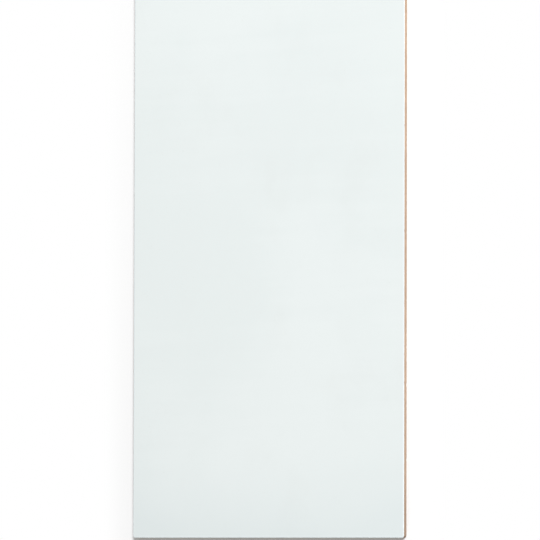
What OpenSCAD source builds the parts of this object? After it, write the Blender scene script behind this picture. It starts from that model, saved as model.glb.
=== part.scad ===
/* [Sheet] */
// Width of the sheet across its face (X)
sheet_w = 609.6; // [200:0.1:1300]
// Length of the sheet along its face (Y)
sheet_l = 1219.2; // [200:0.1:3100]
// Thickness of the pressed board with its coated face (Z)
sheet_t = 6.35; // [3:0.05:12.7]

/* [Edges] */
// Width of the small bevel that eases the arris of the coated face
face_arris = 0.9; // [0.1:0.1:1.2]
// Width of the bevel that the saw leaves along the arris of the back
back_arris = 0.4; // [0.1:0.1:1.2]
// Radius that rounds each of the four corners, seen from the face
corner_r = 4; // [2:0.5:25]

/* [Finish] */
// Colour of the coated face, which is the side that shows on the wall
face_colour = "#E9F1F0"; // [#E9F1F0:Cool white, #F4F1E6:Warm white, #C3A58C:Bare board]

/* [Hidden] */
corner_fn = 96;
inner_w = sheet_w - 2 * corner_r;
inner_l = sheet_l - 2 * corner_r;

// Half of the board's section out to an edge: back on Z = 0, coated face on top, both arrises bevelled
function half_section(reach) = [
    [0, 0],
    [reach - back_arris, 0],
    [reach, back_arris],
    [reach, sheet_t - face_arris],
    [reach - face_arris, sheet_t],
    [0, sheet_t],
];

// Length of board with an eased edge on each side, centred on the origin and run along Y
module eased_strip(width, run)
{
    rotate([90, 0, 0])
        linear_extrude(run, center = true)
            for (side = [0, 1])
                mirror([side, 0]) polygon(half_section(width / 2));
}

// Disc with the same eased edge, which rounds a corner
module eased_corner()
{
    rotate_extrude($fn = corner_fn) polygon(half_section(corner_r));
}

// The whole board, pressed in one piece and lying on its back
module hardboard_sheet()
{
    color(face_colour)
    union() {
        eased_strip(sheet_w, inner_l);
        rotate([0, 0, 90]) eased_strip(sheet_l, inner_w);
        for (side = [-1, 1], end = [-1, 1])
            translate([side * inner_w / 2, end * inner_l / 2, 0]) eased_corner();
    }
}

hardboard_sheet();
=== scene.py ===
import math

import bpy
import numpy as np
from mathutils import Matrix, Vector


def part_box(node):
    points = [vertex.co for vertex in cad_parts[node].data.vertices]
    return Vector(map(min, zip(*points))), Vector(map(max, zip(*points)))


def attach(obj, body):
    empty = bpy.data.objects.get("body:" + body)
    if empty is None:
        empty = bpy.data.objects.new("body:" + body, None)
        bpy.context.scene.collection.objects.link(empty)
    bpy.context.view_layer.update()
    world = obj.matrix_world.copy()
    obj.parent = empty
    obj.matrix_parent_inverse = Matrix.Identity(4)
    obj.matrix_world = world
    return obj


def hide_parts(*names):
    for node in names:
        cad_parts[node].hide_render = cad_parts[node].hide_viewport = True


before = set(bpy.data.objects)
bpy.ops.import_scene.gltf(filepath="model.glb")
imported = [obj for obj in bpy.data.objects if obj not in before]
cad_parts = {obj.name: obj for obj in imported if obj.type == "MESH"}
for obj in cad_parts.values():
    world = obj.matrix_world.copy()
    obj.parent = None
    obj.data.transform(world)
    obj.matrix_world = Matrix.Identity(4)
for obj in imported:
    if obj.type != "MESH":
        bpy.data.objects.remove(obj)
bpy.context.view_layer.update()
sheetLow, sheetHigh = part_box("hardboard_sheet")
sheetSize = sheetHigh - sheetLow
print("frame loaded, the sheet is", [round(v * 1000, 2) for v in sheetSize], "mm")


# Metres. An inset runs in from the outline, a depth runs down from the coated face.
sheetSpec = {
    "cornerRadius": 0.004,
    "cellsAcross": 59,  # squares on the face and the back, about 10 mm
    "cellsAlong": 119,
    "splits": 8,  # stations along the edge for each square
    "faceMargin": 0.0016,  # where the flat of the face starts
    "coatRoll": 0.0008,  # how far the coating rolls over the arris
    "rollSteps": 6,
    "lipDepth": 0.0008,  # the coating ends here
    "lipGroove": 0.00016,  # the sawn board starts a little further in
    "grooveDrop": 0.00006,  # the groove's floor lies this far below the lip
    "grooveTall": 0.00022,  # and the full sawn side starts this far below that
    "sawnSteps": 8,
    "backBevel": 0.0004,
    "bevelMiddle": (0.55, 0.3),  # shares of the bevel, in from the side and up from the back
    "backMargin": 0.0030,  # wider than the deepest nick
    "creaseAngle": 38.0,  # degrees, sharper edges are shaded as creases
}

# Marks that the saw, the stack and the fitter have left on the sides, in metres.
edgeMarks = {
    "cutWander": 0.00005,  # slow wander of the cut
    "wanderPitch": 0.17,
    "sawRidge": 0.00006,  # ridges of the blade
    "sawPitch": 0.0042,
    "sawLean": 0.25,  # the ridges lean by this share of the depth
    "fibrePluck": 0.00011,  # fibres that the blade pulled out
    "layerPitch": 0.009,  # runs of fibre along a layer of the pressed mat
    "backChips": 64,
    "backChipWidth": (0.002, 0.006),
    "backChipDepth": 0.0007,
    "backChipRise": 0.0017,  # chips along the back reach this far up the side
    "coatChips": 26,
    "coatChipWidth": (0.0015, 0.0040),
    "coatChipDepth": 0.00045,
    "coatChipReach": 0.0005,  # chips of the coating reach this far from its lip
    "coatThickness": 0.00012,  # a deeper chip shows the board
    "seed": 41,
}

# Larger nicks: side, share of that side from its left or lower end, width and depth.
nicks = [
    {"side": "lower", "share": 0.13, "width": 0.0075, "bite": 0.0013},
    {"side": "lower", "share": 0.70, "width": 0.0048, "bite": 0.0008},
    {"side": "right", "share": 0.098, "width": 0.0052, "bite": 0.0011},
    {"side": "right", "share": 0.192, "width": 0.0060, "bite": 0.0014},
]

# The sheet laid out flat for baking, in shares of the square map.
bakeLayout = {
    "fieldTall": 0.426,  # the face's field, and the back's
    "gap": 0.002,
    "rows": 9,  # the edge is cut into this many rows
    "rowFill": 0.88,
}

coatingSlot, sawnSlot, backSlot = 0, 1, 2  # the order in which the finishes are added


# Walks the rounded outline once, lower side first and then to the right. Gives the points, their
# outward normals, the length walked and, for each square's end, the square's corner it belongs to.
def walkOutline(spec, size):
    radius = spec["cornerRadius"]
    splits = spec["splits"]
    halfAcross = size.x / 2 - radius
    halfAlong = size.y / 2 - radius
    across = spec["cellsAcross"]
    along = spec["cellsAlong"]
    ends = [(-1, -1), (1, -1), (1, 1), (-1, 1)]
    points = []
    normals = []
    anchors = []
    for side in range(4):
        fromX, fromY = ends[side]
        toX, toY = ends[(side + 1) % 4]
        cells = across if side % 2 == 0 else along
        facing = math.radians(90 * side - 90)
        out = np.array([math.cos(facing), math.sin(facing)])
        for step in range(cells * splits):
            share = step / (cells * splits)
            x = halfAcross * (fromX + (toX - fromX) * share)
            y = halfAlong * (fromY + (toY - fromY) * share)
            points.append(np.array([x, y]) + radius * out)
            normals.append(out)
            if step % splits == 0:
                ix = round((fromX + 1) / 2 * across + (toX - fromX) / 2 * step / splits)
                iy = round((fromY + 1) / 2 * along + (toY - fromY) / 2 * step / splits)
                anchors.append((len(points) - 1, ix, iy))
        for step in range(splits):
            turn = facing + math.radians(90) * step / splits
            out = np.array([math.cos(turn), math.sin(turn)])
            points.append(np.array([halfAcross * toX, halfAlong * toY]) + radius * out)
            normals.append(out)
            if step == 0:
                corner = (round((toX + 1) / 2 * across), round((toY + 1) / 2 * along))
                anchors.append((len(points) - 1, corner[0], corner[1]))
    points = np.array(points)
    hops = np.linalg.norm(np.roll(points, -1, axis=0) - points, axis=1)
    walked = np.concatenate([[0], np.cumsum(hops)[:-1]])
    return points, np.array(normals), walked, float(hops.sum()), anchors


# Rings of the edge, from the flat of the face down to the flat of the back.
def edgeRings(spec, thickness):
    inset = [spec["faceMargin"]]
    depth = [0.0]
    for step in range(spec["rollSteps"] + 1):
        turn = math.radians(90) * step / spec["rollSteps"]
        inset.append(spec["coatRoll"] * (1 - math.sin(turn)))
        depth.append(spec["lipDepth"] * (1 - math.cos(turn)))
    coatEnd = len(inset) - 1
    inset.append(spec["lipGroove"])
    depth.append(spec["lipDepth"] + spec["grooveDrop"])
    sawnFrom = depth[-1] + spec["grooveTall"]
    sawnTo = thickness - spec["backBevel"]
    for step in range(spec["sawnSteps"] + 1):
        inset.append(0.0)
        depth.append(sawnFrom + (sawnTo - sawnFrom) * step / spec["sawnSteps"])
    inwards, upwards = spec["bevelMiddle"]
    inset.append(spec["backBevel"] * inwards)
    depth.append(thickness - spec["backBevel"] * upwards)
    inset.append(spec["backBevel"])
    depth.append(thickness)
    sawnEnd = len(inset) - 1
    inset.append(spec["backMargin"])
    depth.append(thickness)
    return np.array(inset), np.array(depth), coatEnd, sawnEnd


# Smooth random line round the outline, from 0 to 1, that meets itself at the start.
def wander(walked, total, pitch, seed):
    knots = max(4, round(total / pitch))
    heights = np.random.default_rng(seed).random(knots)
    place = walked / total * knots
    low = np.floor(place).astype(int)
    blend = place - low
    blend = blend * blend * (3 - 2 * blend)
    return heights[low % knots] * (1 - blend) + heights[(low + 1) % knots] * blend


# One bite out of the edge, 1 at its middle and 0 past its ends.
def bite(walked, total, middle, width):
    gap = np.abs((walked - middle + total / 2) % total - total / 2)
    return np.clip(1 - (2 * gap / width) ** 2, 0, 1)


def between(rng, low, high):
    return low + (high - low) * rng.random()


# How far each station of each ring is pushed in. The flats of the face and the back stay.
def edgeRelief(marks, spec, size, walked, total, depth, coatEnd, sawnEnd):
    seed = marks["seed"]
    rng = np.random.default_rng(seed)
    stations = len(walked)
    rings = len(depth)
    push = np.zeros((stations, rings))
    onSide = np.clip((depth - 0.1 * spec["lipDepth"]) / spec["lipDepth"], 0, 1)
    onSide[sawnEnd + 1] = 0
    sawn = np.zeros(rings)
    sawn[coatEnd + 2 : sawnEnd] = 1
    slow = wander(walked, total, marks["wanderPitch"], seed + 1)
    push += marks["cutWander"] * np.outer(slow, onSide)
    for ring in range(coatEnd + 2, sawnEnd):
        slant = marks["sawLean"] * depth[ring]
        ridge = wander((walked + slant) % total, total, marks["sawPitch"], seed + 2)
        fine = wander((walked + slant) % total, total, marks["sawPitch"] / 2.3, seed + 3)
        push[:, ring] += marks["sawRidge"] * (0.7 * ridge + 0.3 * fine)
        layer = wander(walked, total, marks["layerPitch"], seed + 10 + ring)
        pluck = rng.random(stations) ** 3
        push[:, ring] += marks["fibrePluck"] * (0.55 * layer + 0.45 * pluck) * sawn[ring]
    ragged = 0.55 + 0.45 * rng.random(stations)  # a chip's broken floor
    rise = marks["backChipRise"]
    nearBack = np.clip((depth - (size.z - rise)) / rise, 0, 1) ** 1.5
    nearBack[sawnEnd + 1] = 0
    for _ in range(marks["backChips"]):
        where = rng.random() * total
        wide = between(rng, *marks["backChipWidth"])
        deep = marks["backChipDepth"] * between(rng, 0.35, 1.0)
        push += deep * np.outer(bite(walked, total, where, wide) * ragged, nearBack)
    nearLip = np.clip(1 - np.abs(depth - spec["lipDepth"]) / marks["coatChipReach"], 0, 1)
    nearLip[:2] = 0
    coatChip = np.zeros((stations, rings))
    for _ in range(marks["coatChips"]):
        where = rng.random() * total
        wide = between(rng, *marks["coatChipWidth"])
        deep = marks["coatChipDepth"] * between(rng, 0.4, 1.0)
        coatChip += deep * np.outer(bite(walked, total, where, wide) * ragged, nearLip)
    lowerSide = size.x - 2 * spec["cornerRadius"]
    quarter = spec["cornerRadius"] * math.pi / 2
    for nick in nicks:
        start = 0.0 if nick["side"] == "lower" else lowerSide + quarter
        length = size.x if nick["side"] == "lower" else size.y
        where = start + nick["share"] * length - spec["cornerRadius"]
        shape = bite(walked, total, where, nick["width"]) * ragged
        reach = nearBack if nick["side"] == "right" else np.maximum(nearBack, 0.8 * sawn)
        push += nick["bite"] * np.outer(shape, reach)
    return push + coatChip, coatChip


# Gives the mesh its map for baking: face and back as two fields, the edge as rows below them.
def layOutMap(mesh, places, layout, ringCount, stations, faceKinds):
    layer = mesh.uv_layers.new(name="OFBake")
    gap = layout["gap"]
    fieldTall = layout["fieldTall"]
    rowFill = layout["rowFill"]
    perRow = math.ceil(stations / layout["rows"])
    rowTall = (1 - 2 * fieldTall - 2 * gap) / layout["rows"]
    spots = np.zeros((len(mesh.loops), 2))
    for polygon in mesh.polygons:
        kind = faceKinds[polygon.index]
        loops = list(polygon.loop_indices)
        if kind[0] == "edge":
            row = kind[1] // perRow
            for loop in loops:
                vertex = mesh.loops[loop].vertex_index
                station, ring = places[vertex]
                ahead = (station - kind[1]) % stations
                column = kind[1] - row * perRow + ahead
                within = (1 - rowFill) / 2 + rowFill * ring / (ringCount - 1)
                spots[loop, 0] = gap + (1 - 2 * gap) * column / perRow
                spots[loop, 1] = rowTall * (row + within)
        else:
            fieldLow = 1 - fieldTall if kind[0] == "face" else 1 - 2 * fieldTall - gap
            for loop in loops:
                point = mesh.vertices[mesh.loops[loop].vertex_index].co
                spots[loop, 0] = gap + (1 - 2 * gap) * (point.y - sheetLow.y) / sheetSize.y
                spots[loop, 1] = fieldLow + (fieldTall - gap) * (point.x - sheetLow.x) / sheetSize.x
    layer.data.foreach_set("uv", spots.astype(np.float32).ravel())


def buildSheet(spec, marks):
    size = sheetSize
    centre = (sheetLow + sheetHigh) / 2
    points, normals, walked, total, anchors = walkOutline(spec, size)
    inset, depth, coatEnd, sawnEnd = edgeRings(spec, size.z)
    push, coatChip = edgeRelief(marks, spec, size, walked, total, depth, coatEnd, sawnEnd)
    stations = len(points)
    rings = len(depth)
    vertices = []
    places = {}
    for station in range(stations):
        for ring in range(rings):
            inward = inset[ring] + push[station, ring]
            x, y = points[station] - inward * normals[station]
            places[len(vertices)] = (station, ring)
            vertices.append((centre.x + x, centre.y + y, sheetHigh.z - depth[ring]))

    across = spec["cellsAcross"]
    along = spec["cellsAlong"]
    inner = Vector((size.x / 2 - spec["cornerRadius"], size.y / 2 - spec["cornerRadius"]))
    starts = {}
    for level, height in (("face", sheetHigh.z), ("back", sheetLow.z)):
        starts[level] = len(vertices)
        for iy in range(along + 1):
            for ix in range(across + 1):
                x = centre.x + inner.x * (2 * ix / across - 1)
                y = centre.y + inner.y * (2 * iy / along - 1)
                vertices.append((x, y, height))

    def gridPoint(level, ix, iy):
        return starts[level] + iy * (across + 1) + ix

    def ringPoint(station, ring):
        return (station % stations) * rings + ring

    faces = []
    slots = []
    kinds = []

    def addFace(corners, slot, kind):
        faces.append(corners)
        slots.append(slot)
        kinds.append(kind)

    for iy in range(along):
        for ix in range(across):
            corners = [(ix, iy), (ix + 1, iy), (ix + 1, iy + 1), (ix, iy + 1)]
            addFace([gridPoint("face", *c) for c in corners], coatingSlot, ("face",))
            addFace([gridPoint("back", *c) for c in reversed(corners)], backSlot, ("back",))
    for index, (station, ix, iy) in enumerate(anchors):
        nextStation, nextX, nextY = anchors[(index + 1) % len(anchors)]
        count = (nextStation - station) % stations
        span = range(station, station + count + 1)
        for level, ring, slot in (("face", 0, coatingSlot), ("back", rings - 1, backSlot)):
            corners = [ringPoint(s, ring) for s in span]
            corners.append(gridPoint(level, nextX, nextY))
            if (nextX, nextY) != (ix, iy):
                corners.append(gridPoint(level, ix, iy))
            if level == "back":
                corners.reverse()
            addFace(corners, slot, (level,))
    for station in range(stations):
        for ring in range(rings - 1):
            corners = [
                ringPoint(station, ring + 1),
                ringPoint(station + 1, ring + 1),
                ringPoint(station + 1, ring),
                ringPoint(station, ring),
            ]
            chipped = max(coatChip[station, ring], coatChip[(station + 1) % stations, ring])
            if ring < coatEnd:
                slot = sawnSlot if chipped > marks["coatThickness"] else coatingSlot
            else:
                slot = sawnSlot if ring < sawnEnd else backSlot
            addFace(corners, slot, ("edge", station))

    mesh = bpy.data.meshes.new("hardboardSheet")
    mesh.from_pydata(vertices, [], faces)
    mesh.polygons.foreach_set("material_index", slots)
    mesh.polygons.foreach_set("use_smooth", [True] * len(faces))
    mesh.update()
    mesh.set_sharp_from_angle(angle=math.radians(spec["creaseAngle"]))
    layOutMap(mesh, places, bakeLayout, rings, stations, kinds)
    mesh.validate()
    sheet = bpy.data.objects.new("hardboardSheet", mesh)
    bpy.context.scene.collection.objects.link(sheet)
    return sheet


sheet = buildSheet(sheetSpec, edgeMarks)
print("sheet built,", len(sheet.data.polygons), "faces")


def addNode(tree, kind, place, **settings):
    node = tree.nodes.new(kind)
    node.location = place
    for name, value in settings.items():
        setattr(node, name, value)
    return node


def setInputs(node, **values):
    for name, value in values.items():
        node.inputs[name.replace("_", " ")].default_value = value


def stretch(tree, source, place, scale):
    node = addNode(tree, "ShaderNodeMapping", place)
    node.inputs["Scale"].default_value = scale
    tree.links.new(source, node.inputs["Vector"])
    return node.outputs["Vector"]


def grain(tree, source, place, size, detail=4.0, roughness=0.55):
    node = addNode(tree, "ShaderNodeTexNoise", place)
    setInputs(node, Scale=size, Detail=detail, Roughness=roughness)
    tree.links.new(source, node.inputs["Vector"])
    return node.outputs["Fac"]


def remap(tree, source, place, low, high, toLow=0.0, toHigh=1.0, smooth=True):
    node = addNode(tree, "ShaderNodeMapRange", place)
    node.interpolation_type = "SMOOTHSTEP" if smooth else "LINEAR"
    node.inputs["From Min"].default_value = low
    node.inputs["From Max"].default_value = high
    node.inputs["To Min"].default_value = toLow
    node.inputs["To Max"].default_value = toHigh
    tree.links.new(source, node.inputs["Value"])
    return node.outputs["Result"]


def combine(tree, operation, first, second, place, third=None):
    node = addNode(tree, "ShaderNodeMath", place, operation=operation)
    for socket, value in zip(node.inputs, (first, second, third)):
        if value is None:
            continue
        if isinstance(value, (int, float)):
            socket.default_value = value
        else:
            tree.links.new(value, socket)
    return node.outputs["Value"]


# This share of the first value, and the rest of the second.
def weigh(tree, first, share, second, place):
    rest = combine(tree, "MULTIPLY", second, 1 - share, (place[0], place[1] - 180))
    return combine(tree, "MULTIPLY_ADD", first, share, place, rest)


def tint(tree, factor, first, second, place, blendType="MIX"):
    node = addNode(tree, "ShaderNodeMix", place, data_type="RGBA", blend_type=blendType)
    for index, value in ((0, factor), (6, first), (7, second)):  # 6 and 7 are its colour sockets
        socket = node.inputs[index]
        if isinstance(value, bpy.types.NodeSocket):
            tree.links.new(value, socket)
        elif isinstance(value, tuple):
            socket.default_value = (*value, 1.0)
        else:
            socket.default_value = value
    return node.outputs[2]


def newGroup(name, inputs, outputs):
    tree = bpy.data.node_groups.new(name, "ShaderNodeTree")
    for label, kind, value in inputs:
        socket = tree.interface.new_socket(name=label, in_out="INPUT", socket_type=kind)
        if value is not None:
            socket.default_value = value
    for label, kind in outputs:
        tree.interface.new_socket(name=label, in_out="OUTPUT", socket_type=kind)
    entry = addNode(tree, "NodeGroupInput", (-900, 0))
    leave = addNode(tree, "NodeGroupOutput", (900, 0))
    return tree, entry, leave


def placeGroup(tree, group, place, source, **values):
    node = addNode(tree, "ShaderNodeGroup", place, node_tree=group)
    tree.links.new(source, node.inputs["Vector"])
    setInputs(node, **values)
    return node


def newMaterial(name):
    material = bpy.data.materials.new(name)
    material.use_nodes = True
    tree = material.node_tree
    tree.nodes.clear()
    shader = addNode(tree, "ShaderNodeBsdfPrincipled", (900, 0))
    output = addNode(tree, "ShaderNodeOutputMaterial", (1200, 0))
    tree.links.new(shader.outputs["BSDF"], output.inputs["Surface"])
    coords = addNode(tree, "ShaderNodeTexCoord", (-1400, 0))
    return material, tree, shader, coords.outputs["Object"]


# Pulped wood pressed into a mat: long fibres, darker bundles and the height that goes with them.
def buildFibreGroup():
    inputs = [
        ("Vector", "NodeSocketVector", None),
        ("Size", "NodeSocketFloat", 1.0),
        ("Bundles", "NodeSocketFloat", 0.5),
    ]
    outputs = [
        ("Fibre", "NodeSocketFloat"),
        ("Bundle", "NodeSocketFloat"),
        ("Height", "NodeSocketFloat"),
    ]
    tree, entry, leave = newGroup("pressedFibre", inputs, outputs)
    scaled = addNode(tree, "ShaderNodeVectorMath", (-700, 100), operation="SCALE")
    tree.links.new(entry.outputs["Vector"], scaled.inputs[0])
    tree.links.new(entry.outputs["Size"], scaled.inputs["Scale"])
    source = scaled.outputs["Vector"]
    broad = grain(tree, source, (-450, 300), 1.0, 5.0, 0.62)
    fine = grain(tree, source, (-450, 0), 4.3, 6.0, 0.7)
    cells = addNode(tree, "ShaderNodeTexVoronoi", (-450, -300), feature="SMOOTH_F1")
    setInputs(cells, Scale=1.7, Smoothness=0.6, Randomness=1.0)
    tree.links.new(source, cells.inputs["Vector"])
    bundle = remap(tree, cells.outputs["Distance"], (-200, -300), 0.34, 0.12)
    bundle = combine(tree, "MULTIPLY", bundle, entry.outputs["Bundles"], (0, -300))
    mixed = weigh(tree, fine, 0.45, broad, (-200, 200))
    height = combine(tree, "SUBTRACT", mixed, bundle, (250, 0))
    tree.links.new(remap(tree, mixed, (250, 250), 0.36, 0.64), leave.inputs["Fibre"])
    tree.links.new(bundle, leave.inputs["Bundle"])
    tree.links.new(height, leave.inputs["Height"])
    return tree


# What storing and carrying leave behind: soft smudges and settled dust.
def buildHandlingGroup():
    inputs = [
        ("Vector", "NodeSocketVector", None),
        ("Smudges", "NodeSocketFloat", 0.5),
        ("Dust", "NodeSocketFloat", 0.5),
    ]
    outputs = [("Smudge", "NodeSocketFloat"), ("Dust", "NodeSocketFloat")]
    tree, entry, leave = newGroup("handlingMarks", inputs, outputs)
    cloud = grain(tree, entry.outputs["Vector"], (-600, 250), 7.0, 5.0, 0.6)
    rub = grain(tree, entry.outputs["Vector"], (-600, 50), 31.0, 4.0, 0.65)
    patch = remap(tree, cloud, (-350, 250), 0.5, 0.72)
    smudge = combine(tree, "MULTIPLY", patch, rub, (-100, 200))
    smudge = combine(tree, "MULTIPLY", smudge, entry.outputs["Smudges"], (150, 200))
    specks = addNode(tree, "ShaderNodeTexVoronoi", (-600, -200), feature="F1")
    setInputs(specks, Scale=210.0, Randomness=1.0)
    tree.links.new(entry.outputs["Vector"], specks.inputs["Vector"])
    near = remap(tree, specks.outputs["Distance"], (-350, -200), 0.16, 0.05)
    clumps = grain(tree, entry.outputs["Vector"], (-600, -450), 95.0, 2.0)
    some = remap(tree, clumps, (-350, -450), 0.56, 0.66)
    dust = combine(tree, "MULTIPLY", near, some, (-100, -300))
    dust = combine(tree, "MULTIPLY", dust, entry.outputs["Dust"], (150, -300))
    tree.links.new(smudge, leave.inputs["Smudge"])
    tree.links.new(dust, leave.inputs["Dust"])
    return tree


# Closeness to the outline, seen from above: 1 at the arris, 0 one width further in.
def buildRimGroup():
    inputs = [("Vector", "NodeSocketVector", None), ("Width", "NodeSocketFloat", 0.004)]
    outputs = [("Rim", "NodeSocketFloat")]
    tree, entry, leave = newGroup("nearTheRim", inputs, outputs)
    parts = addNode(tree, "ShaderNodeSeparateXYZ", (-700, 0))
    tree.links.new(entry.outputs["Vector"], parts.inputs["Vector"])
    gaps = []
    for axis, half, y in (("X", sheetSize.x / 2, 150), ("Y", sheetSize.y / 2, -150)):
        away = combine(tree, "ABSOLUTE", parts.outputs[axis], None, (-500, y))
        gaps.append(combine(tree, "SUBTRACT", half, away, (-300, y)))
    gap = combine(tree, "MINIMUM", gaps[0], gaps[1], (-100, 0))
    share = combine(tree, "DIVIDE", gap, entry.outputs["Width"], (100, 0))
    tree.links.new(remap(tree, share, (350, 0), 1.0, 0.25), leave.inputs["Rim"])
    return tree


# Painted shade, darker towards the lower end of the sheet: 1 at that end, 0 past the reach.
# With Corners set, the shaded part climbs that many reaches higher towards the left and right.
def buildLowerEndShadeGroup():
    cornerPower = 4.0  # how late the climb starts
    uneven = 0.3  # reaches between the lowest and the highest part of its upper line
    fade = 1.8
    inputs = [
        ("Vector", "NodeSocketVector", None),
        ("Reach", "NodeSocketFloat", 0.1),
        ("Corners", "NodeSocketFloat", 0.0),
    ]
    outputs = [("PaintedShade", "NodeSocketFloat")]
    tree, entry, leave = newGroup("lowerEndPaintedShade", inputs, outputs)
    parts = addNode(tree, "ShaderNodeSeparateXYZ", (-700, 0))
    tree.links.new(entry.outputs["Vector"], parts.inputs["Vector"])
    above = combine(tree, "SUBTRACT", parts.outputs["Y"], sheetLow.y, (-500, 0))
    share = combine(tree, "DIVIDE", above, entry.outputs["Reach"], (-300, 0))
    sideways = combine(tree, "ABSOLUTE", parts.outputs["X"], None, (-500, 250))
    sideways = combine(tree, "DIVIDE", sideways, sheetSize.x / 2, (-300, 250))
    sideways = combine(tree, "POWER", sideways, cornerPower, (-100, 250))
    climb = combine(tree, "MULTIPLY", sideways, entry.outputs["Corners"], (100, 250))
    share = combine(tree, "SUBTRACT", share, climb, (100, 100))
    cloud = grain(tree, entry.outputs["Vector"], (-500, -250), 8.0, 3.0)
    moved = combine(tree, "MULTIPLY_ADD", cloud, uneven, (-100, -100), -uneven / 2)
    share = combine(tree, "ADD", share, moved, (250, 0))
    nearness = remap(tree, share, (450, 0), 1.0, 0.0, smooth=False)
    tree.links.new(combine(tree, "POWER", nearness, fade, (650, 0)), leave.inputs["PaintedShade"])
    return tree


fibreGroup = buildFibreGroup()
handlingGroup = buildHandlingGroup()
rimGroup = buildRimGroup()
lowerEndShadeGroup = buildLowerEndShadeGroup()
print("shared effects built")


coatingLook = {
    "white": (0.838, 0.888, 0.880),
    "shade": (0.807, 0.860, 0.852),  # darker tone of broad random patches
    "cloudStart": (3.655, 6.385, 1.85),  # which part of the noise the darker patches are taken from
    "cloudSize": 2.3,
    "streaks": (1.6, 26.0, 1.0),  # the roller ran across the sheet
    "streakShare": 0.25,
    "paintedSideShade": (0.965, 0.965, 0.965),  # painted shade: the face darkens by this much from left to right
    "paintedLowerShade": (0.754, 0.813, 0.811),  # painted shade towards the lower end
    "lowerEndShade": {"Reach": 0.18, "Corners": 0.20},
    "paintedArrisTint": (0.775, 0.838, 0.850),  # bluish tint painted along the arris as its highlight line, a little darker than the face so the lit roll-over stays under white
    "rimWidth": 0.0046,
    "smudge": (0.62, 0.62, 0.59),
    "handling": {"Smudges": 0.10, "Dust": 0.5},
    "rollerSize": 620.0,  # texture of the roller, cells per metre
    "rollerHeight": 0.000012,
    "roughness": (0.30, 0.42),
}


def makeCoating(look):
    material, tree, shader, coords = newMaterial("whiteCoating")
    moved = addNode(tree, "ShaderNodeMapping", (-1200, 500))
    moved.inputs["Location"].default_value = look["cloudStart"]
    tree.links.new(coords, moved.inputs["Vector"])
    cloud = grain(tree, moved.outputs["Vector"], (-1000, 500), look["cloudSize"], 4.0, 0.5)
    rolled = stretch(tree, coords, (-1200, 250), look["streaks"])
    streak = grain(tree, rolled, (-1000, 250), 1.0, 5.0, 0.6)
    both = weigh(tree, streak, look["streakShare"], cloud, (-750, 450))
    darkPatch = remap(tree, both, (-550, 400), 0.38, 0.62)
    colour = tint(tree, darkPatch, look["white"], look["shade"], (-400, 400))
    # Painted shade: the face is darker towards its right side.
    parts = addNode(tree, "ShaderNodeSeparateXYZ", (-750, 800))
    tree.links.new(coords, parts.inputs["Vector"])
    paintedSideShade = remap(tree, parts.outputs["X"], (-550, 800), sheetLow.x, sheetHigh.x, smooth=False)
    colour = tint(tree, paintedSideShade, colour, look["paintedSideShade"], (-300, 600), "MULTIPLY")
    # Painted shade: the face darkens towards its lower end.
    lowerEndShade = placeGroup(tree, lowerEndShadeGroup, (-550, 650), coords, **look["lowerEndShade"])
    colour = tint(tree, lowerEndShade.outputs["PaintedShade"], colour, look["paintedLowerShade"], (-200, 550))
    # Painted highlight tint: bluish and a little darker along the arris, in patches.
    paintedArrisTint = placeGroup(tree, rimGroup, (-750, 150), coords, Width=look["rimWidth"])
    beads = grain(tree, coords, (-1000, 0), 90.0, 3.0)
    patchy = remap(tree, beads, (-750, 0), 0.3, 0.6, 0.45, 1.0)
    arrisTintShare = combine(tree, "MULTIPLY", paintedArrisTint.outputs["Rim"], patchy, (-500, 100))
    colour = tint(tree, arrisTintShare, colour, look["paintedArrisTint"], (-100, 300))
    handled = placeGroup(tree, handlingGroup, (-750, -200), coords, **look["handling"])
    colour = tint(tree, handled.outputs["Smudge"], colour, look["smudge"], (150, 300))
    colour = tint(tree, handled.outputs["Dust"], colour, look["smudge"], (400, 300))
    tree.links.new(colour, shader.inputs["Base Color"])
    roller = grain(tree, coords, (-1000, -450), look["rollerSize"], 2.0, 0.5)
    sheen = weigh(tree, darkPatch, 0.5, roller, (-300, -100))
    rough = remap(tree, sheen, (-50, -100), 0.2, 0.8, *look["roughness"])
    rough = combine(tree, "ADD", rough, handled.outputs["Smudge"], (200, -100))
    tree.links.new(rough, shader.inputs["Roughness"])
    bump = addNode(tree, "ShaderNodeBump", (500, -350))
    setInputs(bump, Strength=0.6, Distance=look["rollerHeight"])
    tree.links.new(roller, bump.inputs["Height"])
    tree.links.new(bump.outputs["Normal"], shader.inputs["Normal"])
    return material


edgeLook = {
    "light": (0.525, 0.382, 0.279),
    "middle": (0.400, 0.279, 0.196),
    "dark": (0.240, 0.148, 0.094),
    "darkClouds": 0.45,
    "lightRuns": 0.35,
    "paintedLowerShade": (0.65, 0.63, 0.62),  # painted shade: darkens the lower end, fibres and all
    "lowerEndShade": {"Reach": 0.26},
    "darkBand": (0.180, 0.115, 0.080),  # darker in a thin band just under the coating's lip and just above the back
    "darkBandDepth": 0.0007,
    "layers": (270.0, 270.0, 1250.0),  # fibres lie flat in the mat
    "bundles": 0.26,  # bundles of fibre that weren't pulped
    "endSize": 2300.0,  # cut fibre ends, cells per metre
    "darkEnds": 0.55,
    "paleEnds": 0.45,
    "pale": (0.680, 0.530, 0.400),
    "dust": (0.80, 0.74, 0.66),
    "handling": {"Smudges": 0.5, "Dust": 0.9},
    "sawMarks": 0.18,
    "reliefHeight": 0.00012,
    "roughness": (0.95, 0.8),
}


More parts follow.
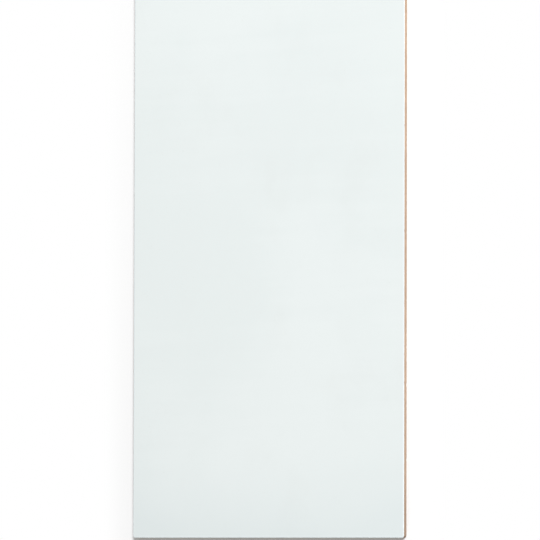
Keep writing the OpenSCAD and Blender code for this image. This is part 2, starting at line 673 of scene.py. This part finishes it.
def makeSawnEdge(look):
    material, tree, shader, coords = newMaterial("sawnEdge")
    layered = stretch(tree, coords, (-1200, 300), look["layers"])
    fibres = placeGroup(tree, fibreGroup, (-950, 300), layered, Size=1.0, Bundles=look["bundles"])
    slow = remap(tree, grain(tree, coords, (-950, 550), 9.0, 3.0), (-700, 550), 0.35, 0.65)
    runs = remap(tree, grain(tree, coords, (-950, 750), 60.0, 4.0, 0.65), (-700, 750), 0.32, 0.68)
    colour = tint(tree, fibres.outputs["Fibre"], look["middle"], look["light"], (-650, 300))
    darker = combine(tree, "MULTIPLY", slow, look["darkClouds"], (-650, 150))
    colour = tint(tree, darker, colour, look["dark"], (-450, 300))
    lighter = combine(tree, "MULTIPLY", runs, look["lightRuns"], (-450, 150))
    colour = tint(tree, lighter, colour, look["light"], (-250, 300))
    ends = grain(tree, coords, (-950, 950), look["endSize"], 3.0, 0.7)
    darkEnds = remap(tree, ends, (-700, 950), 0.50, 0.30, 0.0, look["darkEnds"])
    paleEnds = remap(tree, ends, (-700, 1200), 0.54, 0.74, 0.0, look["paleEnds"])
    colour = tint(tree, darkEnds, colour, look["dark"], (-150, 900))
    colour = tint(tree, paleEnds, colour, look["pale"], (-50, 750))
    colour = tint(tree, fibres.outputs["Bundle"], colour, look["dark"], (-50, 300))
    # Painted shade: the sides darken towards the lower end.
    lowerEndShade = placeGroup(tree, lowerEndShadeGroup, (-250, 550), coords, **look["lowerEndShade"])
    colour = tint(tree, lowerEndShade.outputs["PaintedShade"], colour, look["paintedLowerShade"], (50, 450), "MULTIPLY")
    parts = addNode(tree, "ShaderNodeSeparateXYZ", (-1200, -100))
    tree.links.new(coords, parts.inputs["Vector"])
    top = sheetHigh.z - sheetSpec["lipDepth"]
    upper = remap(tree, parts.outputs["Z"], (-950, -50), top - look["darkBandDepth"], top)
    lower = remap(tree, parts.outputs["Z"], (-950, -300), look["darkBandDepth"] * 0.8, 0.0, 0.0, 0.7)
    darkBand = combine(tree, "MAXIMUM", upper, lower, (-700, -150))
    uneven = remap(tree, runs, (-700, -350), 0.0, 1.0, 1.0, 0.6)
    darkBand = combine(tree, "MULTIPLY", darkBand, uneven, (-450, -200))
    colour = tint(tree, darkBand, colour, look["darkBand"], (150, 300))
    handled = placeGroup(tree, handlingGroup, (-200, -100), coords, **look["handling"])
    colour = tint(tree, handled.outputs["Smudge"], colour, look["dark"], (350, 300))
    colour = tint(tree, handled.outputs["Dust"], colour, look["dust"], (550, 300))
    tree.links.new(colour, shader.inputs["Base Color"])
    rough = remap(tree, fibres.outputs["Fibre"], (300, -100), 0.0, 1.0, *look["roughness"])
    tree.links.new(rough, shader.inputs["Roughness"])
    # the blade's ridges cross the layers; x + y runs along every side
    run = combine(tree, "ADD", parts.outputs["X"], parts.outputs["Y"], (-950, -550))
    run = combine(tree, "MULTIPLY_ADD", parts.outputs["Z"], edgeMarks["sawLean"], (-750, -550), run)
    turn = combine(tree, "MULTIPLY", run, 2 * math.pi / edgeMarks["sawPitch"], (-550, -550))
    wave = combine(tree, "SINE", turn, None, (-350, -550))
    grown = combine(tree, "ADD", fibres.outputs["Height"], ends, (-350, -300))
    relief = combine(tree, "MULTIPLY_ADD", wave, look["sawMarks"], (-150, -500), grown)
    bump = addNode(tree, "ShaderNodeBump", (500, -400))
    setInputs(bump, Strength=0.9, Distance=look["reliefHeight"])
    tree.links.new(relief, bump.inputs["Height"])
    tree.links.new(bump.outputs["Normal"], shader.inputs["Normal"])
    return material


backLook = {
    "light": (0.330, 0.205, 0.125),
    "middle": (0.235, 0.140, 0.085),
    "dark": (0.125, 0.072, 0.045),
    "screenPitch": 0.0017,  # the wires of the press screen
    "screenHeight": 0.00022,
    "fibreSize": 240.0,  # cells per metre
    "fibreRelief": 0.3,
    "bundles": 0.6,  # on the back they show pale
    "darkClouds": 0.3,
    # painted shade in the dimples of the screen
    "paintedDimpleShade": 0.45,
    "dust": (0.62, 0.52, 0.42),
    "handling": {"Smudges": 0.6, "Dust": 1.0},
    "roughness": (0.78, 0.95),
}


def makeScreenBack(look):
    material, tree, shader, coords = newMaterial("screenBack")
    fibres = placeGroup(
        tree, fibreGroup, (-950, 350), coords, Size=look["fibreSize"], Bundles=look["bundles"]
    )
    cloud = remap(tree, grain(tree, coords, (-950, 600), 6.0, 5.0, 0.6), (-700, 600), 0.35, 0.65)
    colour = tint(tree, fibres.outputs["Fibre"], look["middle"], look["light"], (-650, 350))
    darker = combine(tree, "MULTIPLY", cloud, look["darkClouds"], (-650, 150))
    colour = tint(tree, darker, colour, look["dark"], (-400, 350))
    colour = tint(tree, fibres.outputs["Bundle"], colour, look["light"], (-150, 350))
    parts = addNode(tree, "ShaderNodeSeparateXYZ", (-1200, -150))
    tree.links.new(coords, parts.inputs["Vector"])
    waves = []
    for axis, y in (("X", -50), ("Y", -250)):
        wires = 2 * math.pi / look["screenPitch"]
        turn = combine(tree, "MULTIPLY", parts.outputs[axis], wires, (-950, y))
        waves.append(combine(tree, "SINE", turn, None, (-750, y)))
    weave = combine(tree, "MULTIPLY", waves[0], waves[1], (-550, -150))
    dimple = remap(tree, weave, (-350, -150), -0.55, 0.55)
    # Painted shade: the screen's dimples are darkened.
    darker = combine(tree, "MULTIPLY", dimple, look["paintedDimpleShade"], (-150, 100))
    colour = tint(tree, darker, colour, look["dark"], (100, 350))
    handled = placeGroup(tree, handlingGroup, (-350, -450), coords, **look["handling"])
    colour = tint(tree, handled.outputs["Dust"], colour, look["dust"], (350, 350))
    tree.links.new(colour, shader.inputs["Base Color"])
    rough = remap(tree, fibres.outputs["Fibre"], (350, -50), 0.0, 1.0, *look["roughness"])
    tree.links.new(rough, shader.inputs["Roughness"])
    sunk = combine(tree, "MULTIPLY", dimple, -1.0, (-150, -250))
    fibreHeight = fibres.outputs["Height"]
    relief = combine(tree, "MULTIPLY_ADD", fibreHeight, look["fibreRelief"], (0, -300), sunk)
    bump = addNode(tree, "ShaderNodeBump", (500, -300))
    setInputs(bump, Strength=0.8, Distance=look["screenHeight"])
    tree.links.new(relief, bump.inputs["Height"])
    tree.links.new(bump.outputs["Normal"], shader.inputs["Normal"])
    return material


for material in (makeCoating(coatingLook), makeSawnEdge(edgeLook), makeScreenBack(backLook)):
    sheet.data.materials.append(material)
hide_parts("hardboard_sheet")
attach(sheet, "root")
print("finishes made:", [m.name for m in sheet.data.materials])


studio = {
    "floorSize": 40.0,
    "floorGap": 0.0001,  # the floor lies this far under the sheet
    "floorWhite": 0.97,
    "floorLift": 0.01,  # keeps the floor white while the shadow stays
    "clearFrom": 0.012,  # this far from the sheet the shadow fades, and the floor turns plain white
    "clearTo": 0.08,
    "ambient": 0.33,
}


def seenRays(tree, place):
    path = addNode(tree, "ShaderNodeLightPath", place)
    seen = path.outputs["Is Camera Ray"]
    for step, ray in enumerate(("Is Glossy Ray", "Is Transmission Ray"), 1):
        spot = (place[0] + 200 * step, place[1])
        seen = combine(tree, "MAXIMUM", seen, path.outputs[ray], spot)
    return seen


def mixShaders(tree, factor, first, second, place):
    node = addNode(tree, "ShaderNodeMixShader", place)
    tree.links.new(factor, node.inputs[0])
    tree.links.new(first, node.inputs[1])
    tree.links.new(second, node.inputs[2])
    return node.outputs["Shader"]


def buildFloor(spec):
    half = spec["floorSize"] / 2
    level = sheetLow.z - spec["floorGap"]
    corners = [(-half, -half, level), (half, -half, level), (half, half, level), (-half, half, level)]
    mesh = bpy.data.meshes.new("studioFloor")
    mesh.from_pydata(corners, [], [(0, 1, 2, 3)])
    floor = bpy.data.objects.new("studioFloor", mesh)
    bpy.context.scene.collection.objects.link(floor)
    material, tree, shader, coords = newMaterial("studioPaper")
    white = spec["floorWhite"]
    shader.inputs["Base Color"].default_value = (white, white, white, 1.0)
    setInputs(shader, Roughness=0.9)
    shader.inputs["Specular IOR Level"].default_value = 0.0
    lift = addNode(tree, "ShaderNodeEmission", (900, -500))
    setInputs(lift, Strength=spec["floorLift"])
    lifted = addNode(tree, "ShaderNodeAddShader", (1200, -300))
    tree.links.new(shader.outputs["BSDF"], lifted.inputs[0])
    tree.links.new(lift.outputs["Emission"], lifted.inputs[1])
    plain = addNode(tree, "ShaderNodeEmission", (900, -700))
    near = addNode(tree, "ShaderNodeVectorMath", (-1150, -700), operation="ABSOLUTE")
    tree.links.new(coords, near.inputs[0])
    past = addNode(tree, "ShaderNodeVectorMath", (-1000, -700), operation="SUBTRACT")
    past.inputs[1].default_value = (sheetSize.x / 2, sheetSize.y / 2, 1.0)
    tree.links.new(near.outputs["Vector"], past.inputs[0])
    outside = addNode(tree, "ShaderNodeVectorMath", (-850, -700), operation="MAXIMUM")
    tree.links.new(past.outputs["Vector"], outside.inputs[0])
    away = addNode(tree, "ShaderNodeVectorMath", (-700, -700), operation="LENGTH")
    tree.links.new(outside.outputs["Vector"], away.inputs[0])
    clear = remap(tree, away.outputs["Value"], (-500, -700), spec["clearFrom"], spec["clearTo"])
    shown = mixShaders(tree, clear, lifted.outputs["Shader"], plain.outputs["Emission"], (1450, -400))
    final = mixShaders(tree, seenRays(tree, (900, 400)), shader.outputs["BSDF"], shown, (1700, 0))
    output = next(n for n in tree.nodes if n.type == "OUTPUT_MATERIAL")
    output.location = (1950, 0)
    tree.links.new(final, output.inputs["Surface"])
    mesh.materials.append(material)


def buildWorld(spec):
    world = bpy.data.worlds.new("studioWorld")
    world.use_nodes = True
    tree = world.node_tree
    tree.nodes.clear()
    light = addNode(tree, "ShaderNodeBackground", (0, 0))
    setInputs(light, Color=(1.0, 1.0, 1.0, 1.0), Strength=spec["ambient"])
    plain = addNode(tree, "ShaderNodeBackground", (0, -200))
    setInputs(plain, Color=(1.0, 1.0, 1.0, 1.0), Strength=1.0)
    output = addNode(tree, "ShaderNodeOutputWorld", (600, 0))
    seen = seenRays(tree, (-600, 200))
    both = mixShaders(tree, seen, light.outputs[0], plain.outputs[0], (300, 0))
    tree.links.new(both, output.inputs["Surface"])
    bpy.context.scene.world = world


# Softboxes: degrees from the right towards the upper side, degrees above the floor, metres, watts.
softboxes = {
    "mainSoftbox": {"turn": 36.0, "rise": 34.0, "distance": 10.0, "size": 3.5, "power": 1220.0},
    "frontSoftbox": {"turn": -105.0, "rise": 12.0, "distance": 8.0, "size": 3.0, "power": 130.0},
}


def buildSoftbox(name, spec):
    turn = math.radians(spec["turn"])
    rise = math.radians(spec["rise"])
    level = math.cos(rise)
    towards = Vector((level * math.cos(turn), level * math.sin(turn), math.sin(rise)))
    light = bpy.data.lights.new(name, "AREA")
    light.size = spec["size"]
    light.energy = spec["power"]
    lamp = bpy.data.objects.new(name, light)
    lamp.location = towards * spec["distance"]
    lamp.rotation_euler = towards.to_track_quat("Z", "Y").to_euler()
    bpy.context.scene.collection.objects.link(lamp)


# Long lens, looking down on the face from the right and a touch from the lower end.
cameraSpec = {
    "tiltRight": 46.0,  # degrees away from straight down
    "tiltLower": 2.52,
    "roll": 0.13,
    "distance": 10.0,
    "farClip": 80.0,
    "lens": 425.4,
    "aimAcross": 0.0147,  # shares of the sheet's width and length, from its middle
    "aimAlong": -0.1561,
}


def placeCamera(spec):
    right = math.radians(spec["tiltRight"])
    lower = math.radians(spec["tiltLower"])
    roll = math.radians(spec["roll"])
    level = math.cos(lower)
    back = Vector((math.sin(right) * level, -math.sin(lower), math.cos(right) * level))
    aim = Vector((spec["aimAcross"] * sheetSize.x, spec["aimAlong"] * sheetSize.y, sheetHigh.z))
    across = Vector((0, 1, 0)).cross(back).normalized()
    up = back.cross(across)
    rolled = across * math.cos(roll) + up * math.sin(roll)
    upright = up * math.cos(roll) - across * math.sin(roll)
    data = bpy.data.cameras.new("camera")
    data.lens = spec["lens"]
    data.clip_end = spec["farClip"]
    camera = bpy.data.objects.new("camera", data)
    facing = Matrix((rolled, upright, back)).transposed().to_4x4()
    camera.matrix_world = Matrix.Translation(aim + back * spec["distance"]) @ facing
    bpy.context.scene.collection.objects.link(camera)
    bpy.context.scene.camera = camera


buildFloor(studio)
buildWorld(studio)
for name, spec in softboxes.items():
    buildSoftbox(name, spec)
placeCamera(cameraSpec)
bpy.context.scene.view_settings.view_transform = "Standard"
print("floor, light and camera in place")

bpy.context.view_layer.update()
